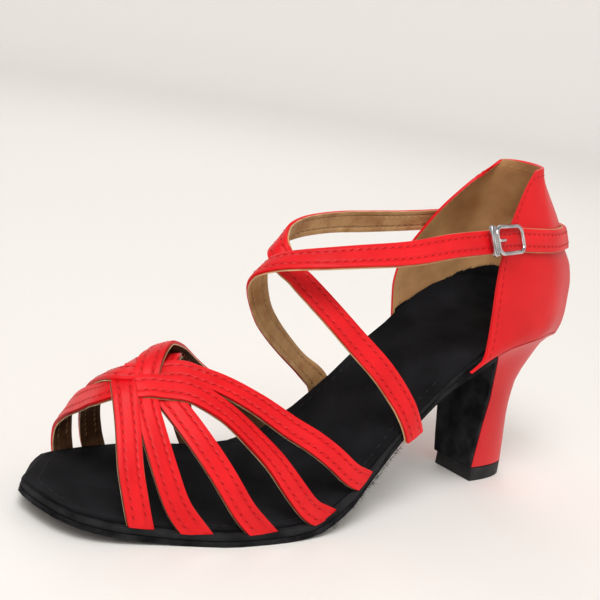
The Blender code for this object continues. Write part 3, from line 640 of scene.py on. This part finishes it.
for name, rows in WEAVE.items():
    marks = link([(*last_point(row[0], row[1]), *row, *(0.0,) * (4 - len(row))) for row in rows], 40)
    run = []
    for x, y, z, along, around, lift, turned in marks:
        around = min(max(around, 0.0), 1.0)
        out = last_normal(along, min(max(around, FOOT_REACH), 1 - FOOT_REACH))
        over = min(min(around, 1 - around) / FOOT_REACH, 1.0)
        point = np.array([x, y, z]) * (1 - over) + last_point(along, around) * over + out * lift * STRAP_THICK
        out = out + np.array([-turned, -turned, 0.0])
        run.append((*point, *(out / np.linalg.norm(out))))
    run = np.array(run)
    strap(name, run, STRAP_WIDTH, STRAP_THICK, SHADED_TOE_LINING, strap_foot)
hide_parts("vamp_straps")

# Heel cup
# Satin outside and tan lining inside with a stiffener between, lasted under the board. The satin is folded over
# at the collar and down both front edges, and sewn there.
COUNTER_TOP = 0.1255
CUP_WALL = 0.0011
# Rise, back, near and far half width, near and far front edge, as shares of the heel height.
COUNTER = (
    (0.00, 0.430, 0.412, 0.395, -0.603, -0.510),
    (0.06, 0.456, 0.410, 0.397, -0.523, -0.523),
    (0.15, 0.472, 0.398, 0.397, -0.500, -0.540),
    (0.28, 0.472, 0.380, 0.386, -0.487, -0.562),
    (0.42, 0.436, 0.360, 0.368, -0.478, -0.548),
    (0.52, 0.362, 0.337, 0.345, -0.458, -0.504),
    (0.62, 0.308, 0.309, 0.318, -0.420, -0.452),
    (0.72, 0.236, 0.275, 0.287, -0.370, -0.398),
    (0.84, 0.134, 0.232, 0.248, -0.288, -0.308),
    (0.94, 0.049, 0.198, 0.210, -0.208, -0.222),
    (1.00, 0.005, 0.180, 0.190, -0.150, -0.140),
)
# How far the collar falls from the back to the front edge, near (1) and far (2).
COLLAR_FALL = {1: 0.0012, 2: 0.0045}
CUP_TUCK = 0.0032


def cup_point(side, share, rise):
    """A point of the cup's outer face: side near (1) or far (2), share from the back to the front edge."""
    back, half, front = (HEEL_HEIGHT * follow(COUNTER, k, rise) for k in (1, 1 + side, 3 + side))
    seat_x = SEAT_BACK - (SEAT_BACK - HEEL_HEIGHT * COUNTER[0][3 + side]) * share
    seat_y = half_width(side, (SEAT_BACK - seat_x) / SOLE_LENGTH) * (-1 if side == 1 else 1)
    low = insole_top(seat_x) - CUP_TUCK
    high = COUNTER_TOP - COLLAR_FALL[side] * share**2
    y = seat_y * half / (HEEL_HEIGHT * COUNTER[0][1 + side])
    return np.array([back - (back - front) * share, y, low + rise * (high - low)], float)


def cup_normal(side, share, rise):
    """The way out of the cup at that point."""
    across = cup_point(side, min(share + NUDGE, 1), rise) - cup_point(side, max(share - NUDGE, 0.001), rise)
    up = cup_point(side, share, min(rise + NUDGE, 1)) - cup_point(side, share, max(rise - NUDGE, 0))
    out = np.cross(across, up)
    out /= np.linalg.norm(out)
    return -out if side == 1 else out


def wrapped_satin(look, waves, tones, depth):
    """Satin drawn over a stiff shape: slight waves, soft tones, both by their scales, and the upright weave."""
    place = on_object(look)
    patches(look, place, tones, (0.62, 0.004, 0.007), (0.74, 0.007, 0.012))
    upright = add(look, "Mapping", {"Vector": place, "Rotation": (math.radians(90), 0, 0)}).outputs["Vector"]
    raised(look, [(grain(look, place, waves, 3), depth, 0.25), (twill(look, upright, 0.00055), 0.00008, 0.4)])


CUP_SATIN = finish("cup_satin", RED, 0.42, shine=0.22)
wrapped_satin(CUP_SATIN, 150, 45, 0.0005)
CUP_LINING = finish("cup_lining", (0.56, 0.30, 0.12), 0.55, shine=0.35)
place = on_object(CUP_LINING)
patches(CUP_LINING, place, 60, (0.46, 0.22, 0.085), (0.66, 0.38, 0.17))
raised(
    CUP_LINING,
    [(grain(CUP_LINING, place, 380, 5), 0.0004, 0.45), (grain(CUP_LINING, place, 60, 2), 0.001, 0.3)],
)

CUP_COLUMNS = 68
CUP_ROWS = 36
bpy.ops.object.select_all(action="DESELECT")
bpy.ops.mesh.primitive_grid_add(x_subdivisions=CUP_COLUMNS, y_subdivisions=CUP_ROWS, size=1)
cup = bpy.context.active_object
cup.name = "heel_cup"
cup.data.name = "heel_cup"
half_shares = np.append(np.linspace(0, 0.985, CUP_COLUMNS // 2) ** 1.5, 1.0)
rises = np.append(np.linspace(0, 0.989, CUP_ROWS), 1.0)
for vertex in cup.data.vertices:
    column = round(vertex.co.x * CUP_COLUMNS)
    row = round((vertex.co.y + 0.5) * CUP_ROWS)
    vertex.co = cup_point(1 if column < 0 else 2, half_shares[abs(column)], rises[row])
cup.data.materials.append(CUP_SATIN)
cup.data.materials.append(CUP_LINING)
wall = cup.modifiers.new("wall", "SOLIDIFY")
wall.thickness = CUP_WALL
wall.offset = -1
wall.use_even_offset = True
wall.material_offset = 1
bpy.ops.object.modifier_apply(modifier=wall.name)
CUP_ROUND = 0.00035
rounded(cup, CUP_ROUND)
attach(cup, "root")
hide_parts("heel_counter")

# The sock's fuzzy rim on the cup's inner wall: share from the back to the front edge, rise.
SOCK_RIM = (
    (0.00, 0.295),
    (0.30, 0.288),
    (0.38, 0.262),
    (0.48, 0.228),
    (0.60, 0.180),
    (0.73, 0.135),
    (1.00, 0.085),
)
RIM_COLUMNS = 140
RIM_ROWS = 5
RIM_FOOT = 0.02
RIM_THICK = 0.0006
RIM_GAP = 0.0001
RIM_FIBRES = 620
RIM_FIBRE_THICK = 0.00016
chance = np.random.default_rng(11)
bpy.ops.object.select_all(action="DESELECT")
bpy.ops.mesh.primitive_grid_add(x_subdivisions=RIM_COLUMNS, y_subdivisions=RIM_ROWS, size=1)
rim = bpy.context.active_object
rim.name = "sock_rim"
rim.data.name = "sock_rim"
ragged = chance.normal(0, 0.003, RIM_COLUMNS + 1)
rim_top = []
for vertex in rim.data.vertices:
    column = round((vertex.co.x + 0.5) * RIM_COLUMNS)
    row = round((vertex.co.y + 0.5) * RIM_ROWS)
    turn = column / RIM_COLUMNS * 2 - 1
    side = 1 if turn < 0 else 2
    share = min(abs(turn) ** 1.3, 0.985)
    top = float(follow(SOCK_RIM, 1, share)) + ragged[column]
    rise = RIM_FOOT + (top - RIM_FOOT) * row / RIM_ROWS
    out = cup_normal(side, max(share, 0.02), rise)
    place = cup_point(side, share, rise) - out * (CUP_WALL + RIM_GAP)
    vertex.co = place
    if row == RIM_ROWS:
        rim_top.append((*place, *out))
rim.data.materials.append(SUEDE)
wall = rim.modifiers.new("wall", "SOLIDIFY")
wall.thickness = RIM_THICK
wall.offset = -1
bpy.ops.object.modifier_apply(modifier=wall.name)
rounded(rim, 0.0002, 2)
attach(rim, "root")


def fluff(name, roots, ways, lengths, thick, look):
    """Loose fibres: one thin spike is modelled once, and copied to each root with its own way and length."""
    bpy.ops.object.select_all(action="DESELECT")
    bpy.ops.mesh.primitive_cone_add(vertices=3, radius1=0.5, radius2=0.08, depth=1, location=(0, 0, 0.5))
    bpy.ops.object.transform_apply(location=True)
    spike = bpy.context.active_object
    shape = np.array([v.co for v in spike.data.vertices])
    faces = [tuple(p.vertices) for p in spike.data.polygons]
    places = []
    corners = []
    for i, (root, way, length) in enumerate(zip(roots, ways, lengths)):
        way = way / np.linalg.norm(way)
        wide = np.cross(way, (0.31, 0.22, 0.92))
        wide /= np.linalg.norm(wide)
        axes = np.array([wide, np.cross(way, wide), way])
        places.append(root + (shape * (thick, thick, length)) @ axes)
        corners += [tuple(v + i * len(shape) for v in face) for face in faces]
    mesh = bpy.data.meshes.new(name)
    mesh.from_pydata(np.concatenate(places).tolist(), [], corners)
    bpy.data.objects.remove(spike)
    piece = bpy.data.objects.new(name, mesh)
    bpy.context.scene.collection.objects.link(piece)
    piece.data.materials.append(look)
    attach(piece, "root")


# The rim's upper edge, in order from one front edge round the back to the other.
rim_top = np.array(sorted(rim_top, key=lambda row: (row[1] > 0, -row[0] if row[1] < 0 else row[0])))
picks = chance.integers(0, len(rim_top), RIM_FIBRES)
roots = rim_top[picks, :3] + chance.normal(0, 0.0003, (RIM_FIBRES, 3)) - rim_top[picks, 3:] * 0.0003
ways = chance.normal(0, 0.6, (RIM_FIBRES, 3)) + (0, 0, 1.0) - rim_top[picks, 3:] * 0.5
lengths = chance.uniform(0.0004, 0.0012, RIM_FIBRES)
fluff("sock_rim_fibres", roots, ways, lengths, RIM_FIBRE_THICK, SUEDE)

# The sewn row's distance from the cup's edges, and the size of the cup that it is a share of.
FOLD_SEAM = 0.0026
CUP_SIZE = 0.062


def cup_seam(side, depth):
    """The sewn row down one front edge and along the collar to the back."""
    inside = 1 - FOLD_SEAM / CUP_SIZE
    front_marks = [(inside, rise) for rise in np.linspace(0.05, 0.93, 24)]
    top_marks = [(share, inside) for share in np.linspace(0.86, 0.0, 18)]
    points = []
    for share, rise in front_marks + top_marks:
        out = cup_normal(side, max(share, 0.02), rise)
        points.append((*(cup_point(side, share, rise) - out * depth), *out))
    return link(points, 200)


for side, label in ((1, "near"), (2, "far")):
    for depth, face, look in ((0.0, "outer", SHADED_RED_THREAD), (CUP_WALL, "inner", TAN_THREAD)):
        row = evenly(cup_seam(side, depth), STITCH_PITCH)
        points, facings = row[:, :3], row[:, 3:]
        run = np.gradient(points, axis=0)
        name = f"cup_{label}_{face}_stitches"
        stitches(name, points, run, facings, LONG_STITCH, THREAD_THICK, look)

# Ankle straps
# Two long satin straps, made as the toe straps are. Each leg is fixed under the board's edge at the waist, they
# cross over the instep, and their bands run on to the heel cup. The near band is fastened by the buckle.
ANKLE_WIDTH = 0.0086
BAND_HEIGHT = 0.0980
CUP_GAP = 0.0006
# Columns: along, side and rise as shares of half the ball width and of the band height, and how far the face is
# turned sideways and, in a few rows, towards the toe.
WAIST_RUN = (
    (0.4205, -0.716, 0.306, 0.0),
    (0.4300, -0.716, 0.350, 0.0),
    (0.4440, -0.692, 0.408, 0.0),
    (0.4590, -0.631, 0.463, 0.0),
    (0.4860, -0.548, 0.539, 0.0),
    (0.5220, -0.405, 0.625, 0.0),
    (0.5640, -0.202, 0.731, 0.0),
    (0.5940, -0.024, 0.807, 0.0),
    (0.6130, 0.071, 0.850, 0.1),
    (0.6190, 0.190, 0.896, 0.3),
    (0.5945, 0.325, 0.930, 0.9),
    (0.5537, 0.417, 0.955, 1.4),
    (0.4757, 0.512, 0.972, 1.2),
    (0.3781, 0.583, 0.976, 0.6),
    (0.3062, 0.600, 0.982, 0.2),
)
INSTEP_RUN = (
    (0.4290, 0.552, 0.280, 0.0),
    (0.4401, 0.555, 0.337, 0.0, 0.1),
    (0.4800, 0.548, 0.404, 0.3, 0.5),
    (0.5330, 0.500, 0.497, 0.3, 0.8),
    (0.5730, 0.440, 0.572, 0.3, 0.8),
    (0.6060, 0.369, 0.645, 0.2, 0.4),
    (0.6472, 0.214, 0.773, 0.4),
    (0.6570, 0.125, 0.825, 0.1),
    (0.6570, 0.020, 0.857, 0.0),
    (0.6470, -0.095, 0.883, 0.0),
    (0.6300, -0.220, 0.903, 0.0),
    (0.6057, -0.345, 0.921, 0.0),
    (0.5579, -0.464, 0.942, 0.0),
    (0.4753, -0.571, 0.967, 0.0),
    (0.3928, -0.607, 1.000, 0.0),
    (0.3150, -0.590, 1.015, 0.0),
)
# The middle of the foot that the ankle straps face away from.
CORE = np.array(((-0.0100, 0.0, 0.088), (-0.0450, 0.003, 0.085), (-0.1500, 0.003, 0.015)))


def from_core(point):
    """The way from the nearest spot of the core to a point."""
    best = None
    for start, end in zip(CORE[:-1], CORE[1:]):
        span = end - start
        away = point - (start + span * np.clip((point - start) @ span / (span @ span), 0, 1))
        if best is None or away @ away < best @ best:
            best = away
    return best / np.linalg.norm(best)


def ankle_run(rows):
    """A leg's points and facings. Its foot faces straight out from the board's edge."""
    marks = []
    for row in rows:
        along, across, rise, turned, forward = row + (0.0,) * (5 - len(row))
        point = np.array([SEAT_BACK - SOLE_LENGTH * along, across * BALL_HALF, rise * BAND_HEIGHT])
        out = from_core(point) + np.array([-forward, turned, 0.0])
        marks.append((*point, *(out / np.linalg.norm(out))))
    for k in (0, 1):
        marks[k] = (*marks[k][:3], 0.18, -0.98 if marks[k][1] < 0 else 0.98, 0.0)
    return marks


def round_cup(side, first, last, heights, count, out_by):
    """Points that follow the cup's outer face between two heights."""
    run = []
    for done in np.linspace(0, 1, count):
        share = first + (last - first) * done
        height = heights[0] + (heights[1] - heights[0]) * done
        low, high = 0.0, 1.0
        for _ in range(30):
            middle = (low + high) / 2
            if cup_point(side, share, middle)[2] < height:
                low = middle
            else:
                high = middle
        out = cup_normal(side, max(share, 0.02), low)
        if share < 0.03:
            out[1] = 0.0
            out /= np.linalg.norm(out)
        run.append((*(cup_point(side, share, low) + out * out_by), *out))
    return run


off_cup = CUP_GAP + STRAP_THICK / 2
near_run = ankle_run(INSTEP_RUN)
near_run += round_cup(1, 0.90, 0.0, (BAND_HEIGHT + 0.0016, BAND_HEIGHT + 0.0006), 9, off_cup)
near_run += round_cup(2, 0.12, 0.30, (BAND_HEIGHT + 0.0004, BAND_HEIGHT), 2, off_cup)
far_run = ankle_run(WAIST_RUN)
far_run += round_cup(2, 0.90, 0.20, (BAND_HEIGHT - 0.0010, BAND_HEIGHT + 0.0002), 6, off_cup + CUP_GAP)
near_run, far_run = np.array(near_run), np.array(far_run)
near_band = strap("near_ankle_strap", near_run, ANKLE_WIDTH, STRAP_THICK, LINING)
strap("far_ankle_strap", far_run, ANKLE_WIDTH, STRAP_THICK, LINING)
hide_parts("ankle_straps")

# Outsole
# One piece of black chrome suede, roughed up so that it grips. It runs back under the waist and down the heel's
# breast, and its cut edge is frayed.
SOLE_SHEEN = (0.40, 0.40, 0.44)
SOLE = finish("sole_suede", (0.008, 0.008, 0.009), 0.97, sheen=0.06, sheen_colour=SOLE_SHEEN, shine=0.08)
place = on_object(SOLE)
patches(SOLE, place, 160, (0.005, 0.005, 0.006), (0.030, 0.030, 0.033), 0.35, 0.75, 10.0)
raised(SOLE, [(grain(SOLE, place, 1100, 8, 0.85), 0.0006, 0.8), (grain(SOLE, place, 200, 5), 0.0008, 0.4)])
outsole = welded("outsole", "outsole_suede")
outsole.data.materials.append(SOLE)
SOLE_FIBRES = 900
SOLE_FIBRE_THICK = 0.00013
roots = []
ways = []
lengths = []
for i in range(SOLE_FIBRES):
    waist = i < SOLE_FIBRES // 3
    along = chance.uniform(0.44, 0.66) if waist else chance.uniform(0.44, 0.999)
    side = 1 if waist or chance.random() < 0.7 else 2
    run = edge(side, min(along + 0.002, 1.0)) - edge(side, along - 0.002)
    out = np.array([run[1], -run[0], 0.0]) / np.linalg.norm(run)
    out *= 1 if out[1] * (-1 if side == 1 else 1) > 0 else -1
    x, y = edge(side, along)
    z = float(insole_top(x)) - SOLE_STACK + chance.uniform(0.0001, 0.0014)
    roots.append(np.array([x, y, z]) + out * 0.0002)
    way = out + chance.normal(0, 0.55, 3) + (0, 0, -0.10)
    way[2] = abs(way[2]) if z < 0.003 else way[2]
    ways.append(way)
    long_one = waist and chance.random() < 0.4
    lengths.append(chance.uniform(0.0008, 0.0026) if long_one else chance.uniform(0.0005, 0.0012))
fluff("outsole_fibres", roots, ways, lengths, SOLE_FIBRE_THICK, SOLE)

# Heel
# A moulded flared heel, wrapped in the same red satin. Its breast is left for the outsole's end, and the wrap is
# pulled tight round the curve.
HEEL_SATIN = finish("heel_satin", RED, 0.38, shine=0.25)
wrapped_satin(HEEL_SATIN, 170, 40, 0.0004)
heel = welded("heel", "heel_wrapped")
rounded(heel, 0.0006)
heel.data.materials.append(HEEL_SATIN)

# Top piece
# A black rubber top piece, pinned under the heel. It is the part that wears, and it has slightly rounded
# edges.
RUBBER = finish("top_rubber", (0.012, 0.012, 0.013), 0.65, shine=0.25)
place = on_object(RUBBER)
patches(RUBBER, place, 200, (0.010, 0.010, 0.011), (0.026, 0.026, 0.028))
raised(RUBBER, [(grain(RUBBER, place, 900, 4), 0.0002, 0.4)])
top_piece = welded("heel_top_piece", "top_piece")
rounded(top_piece, 0.0004)
top_piece.data.materials.append(RUBBER)

# Buckle
# A small chrome buckle: a rounded wire frame with a short prong, on a hook plate that the strap is folded
# round. It fastens the near band on the outer side of the cup.
CHROME = finish("chrome", (0.55, 0.55, 0.57), 0.12, metallic=1.0)
place = on_object(CHROME)
patches(CHROME, place, 200, (0.42, 0.42, 0.44), (0.72, 0.72, 0.74), 0.35, 0.65, 1.0)
raised(CHROME, [(grain(CHROME, place, 1200, 3), 0.00005, 0.3)])
for node, name in (
    ("buckle_frame", "buckle_wire_frame"),
    ("buckle_hook", "buckle_hook_plate"),
    ("buckle_prong", "buckle_tongue"),
):
    piece = welded(node, name, 50)
    piece.data.materials.append(CHROME)

# Stage
# A pale floor that sweeps up all round, large soft lights and the camera.
bpy.context.scene.view_settings.view_transform = "Standard"
FLOOR_RADIUS = 1.8
SWEEP_RADIUS = 0.9
WALL_HEIGHT = 0.9
bpy.ops.object.select_all(action="DESELECT")
bpy.ops.mesh.primitive_circle_add(vertices=128, radius=FLOOR_RADIUS, fill_type="NGON")
floor = bpy.context.active_object
floor.name = "floor"
bpy.ops.object.mode_set(mode="EDIT")
bpy.ops.mesh.select_all(action="SELECT")
radius, rise = FLOOR_RADIUS, 0.0
for degrees in range(6, 91, 6):
    wider = FLOOR_RADIUS + SWEEP_RADIUS * math.sin(math.radians(degrees))
    higher = SWEEP_RADIUS * (1 - math.cos(math.radians(degrees)))
    bpy.ops.mesh.extrude_region_move(TRANSFORM_OT_translate={"value": (0, 0, higher - rise)})
    bpy.ops.transform.resize(value=(wider / radius, wider / radius, 1))
    radius, rise = wider, higher
bpy.ops.mesh.extrude_region_move(TRANSFORM_OT_translate={"value": (0, 0, WALL_HEIGHT)})
# The extruded face ends as a lid over the bowl, which would shut out the world's light.
bpy.ops.mesh.delete(type="ONLY_FACE")
bpy.ops.object.mode_set(mode="OBJECT")
bpy.ops.object.shade_smooth_by_angle(angle=math.radians(30))
FLOOR = finish("pale_floor", (0.90, 0.88, 0.85), 0.7)
floor.data.materials.append(FLOOR)

world = bpy.data.worlds.new("pale_room")
bpy.context.scene.world = world
world.use_nodes = True
world.node_tree.nodes["Background"].inputs["Color"].default_value = (1.0, 0.97, 0.94, 1)
world.node_tree.nodes["Background"].inputs["Strength"].default_value = 0.40
# Lights: where, what they aim at, size, power.
for where, aim, size, power in (
    ((-0.55, -0.55, 1.20), (-0.08, 0.0, 0.04), 0.7, 7),
    ((-1.20, -0.50, 0.55), (-0.10, 0.0, 0.05), 0.6, 1.6),
    ((0.55, -1.00, 0.60), (-0.05, 0.0, 0.06), 0.6, 1.3),
    ((0.50, 0.90, 0.90), (-0.05, 0.0, 0.06), 0.6, 2),
):
    lamp = bpy.data.lights.new("softbox", "AREA")
    lamp.size = size
    lamp.energy = power
    lamp.color = (1.0, 0.98, 0.96)
    holder = bpy.data.objects.new("softbox", lamp)
    holder.location = where
    holder.rotation_euler = (Vector(aim) - Vector(where)).to_track_quat("-Z", "Y").to_euler()
    bpy.context.scene.collection.objects.link(holder)

daylight = bpy.data.lights.new("daylight", "SUN")
daylight.energy = 1.05
daylight.angle = math.radians(30)
holder = bpy.data.objects.new("daylight", daylight)
holder.rotation_euler = Vector((0.42, 0.50, -0.78)).to_track_quat("-Z", "Y").to_euler()
bpy.context.scene.collection.objects.link(holder)

# Camera: where it stands, what it aims at, and how far it is rolled, as in the photo.
CAMERA_AT = Vector((-0.36394, -0.33375, 0.16725))
CAMERA_AIM = Vector((-0.08405, 0.02156, 0.06560))
ROLL = math.radians(9.38)
camera = bpy.data.cameras.new("camera")
camera.lens = 76.07
camera.clip_start = 0.01
holder = bpy.data.objects.new("camera", camera)
bpy.context.scene.collection.objects.link(holder)
back = (CAMERA_AT - CAMERA_AIM).normalized()
right = Vector((0, 0, 1)).cross(back).normalized()
up = back.cross(right)
rolled_right = right * math.cos(ROLL) + up * math.sin(ROLL)
rolled_up = up * math.cos(ROLL) - right * math.sin(ROLL)
axes = Matrix((rolled_right, rolled_up, back))
holder.matrix_world = Matrix.Translation(CAMERA_AT) @ axes.transposed().to_4x4()
bpy.context.scene.camera = holder
